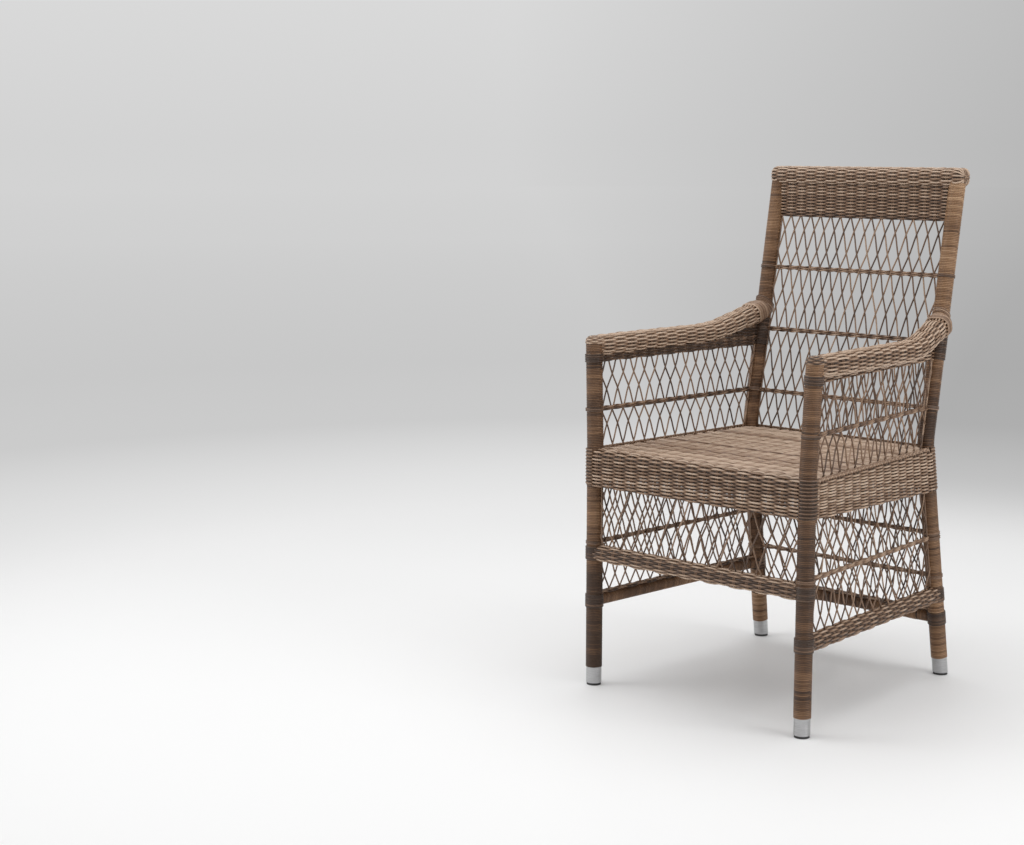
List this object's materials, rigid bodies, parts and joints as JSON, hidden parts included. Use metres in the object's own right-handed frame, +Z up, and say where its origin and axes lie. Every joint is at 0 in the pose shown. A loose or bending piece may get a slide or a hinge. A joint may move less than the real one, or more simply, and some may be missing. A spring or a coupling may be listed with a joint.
{
  "type": "woven armchair",
  "caption": "Tall-backed dining armchair of round synthetic wicker strand: woven seat, rolled arms and head rail, open diamond lattice back, sides and skirt, metal-tipped legs.",
  "frame": {"origin": "on the floor, in the middle of the overall width and depth", "axes": "+Z up, the front faces -Y, +X towards the sitter's left hand"},
  "size_m": [0.5296, 0.5684, 0.962],
  "materials": {
    "wicker": "matte",
    "frame": "powder coated",
    "ferrule": "brushed",
    "glide": "matte"
  },
  "bodies": {
    "root": {"apron_back": "wicker", "apron_front": "wicker", "apron_left": "wicker", "apron_right": "wicker", "back_lattice": "wicker", "back_left_leg_tube": "frame", "back_left_leg_wrap": "wicker", "back_rail_tube": "frame", "back_rail_weave": "wicker", "back_rail_wrap": "wicker", "back_right_leg_tube": "frame", "back_right_leg_wrap": "wicker", "back_skirt_lattice": "wicker", "back_skirt_twined_rows": "wicker", "back_twined_rows": "wicker", "foot_ferrules": "ferrule", "foot_glides": "glide", "front_left_leg_tube": "frame", "front_left_leg_wrap": "wicker", "front_rail_tube": "frame", "front_rail_weave": "wicker", "front_rail_wrap": "wicker", "front_right_leg_tube": "frame", "front_right_leg_wrap": "wicker", "front_skirt_lattice": "wicker", "head_band": "wicker", "head_roll": "wicker", "left_arm_band": "wicker", "left_arm_binding": "wicker", "left_arm_lattice": "wicker", "left_arm_roll": "wicker", "left_arm_tube": "frame", "left_arm_twined_row": "wicker", "left_skirt_lattice": "wicker", "left_skirt_twined_row": "wicker", "right_arm_band": "wicker", "right_arm_binding": "wicker", "right_arm_lattice": "wicker", "right_arm_roll": "wicker", "right_arm_tube": "frame", "right_arm_twined_row": "wicker", "right_skirt_lattice": "wicker", "right_skirt_twined_row": "wicker", "seat_back_rail_tube": "frame", "seat_borders": "wicker", "seat_deck": "wicker", "seat_front_rail_tube": "frame", "seat_left_rail_tube": "frame", "seat_right_rail_tube": "frame", "seat_support_bars": "frame", "side_left_rail_tube": "frame", "side_left_rail_weave": "wicker", "side_left_rail_wrap": "wicker", "side_right_rail_tube": "frame", "side_right_rail_weave": "wicker", "side_right_rail_wrap": "wicker", "top_rail_tube": "frame"}
  },
  "joints": []
}
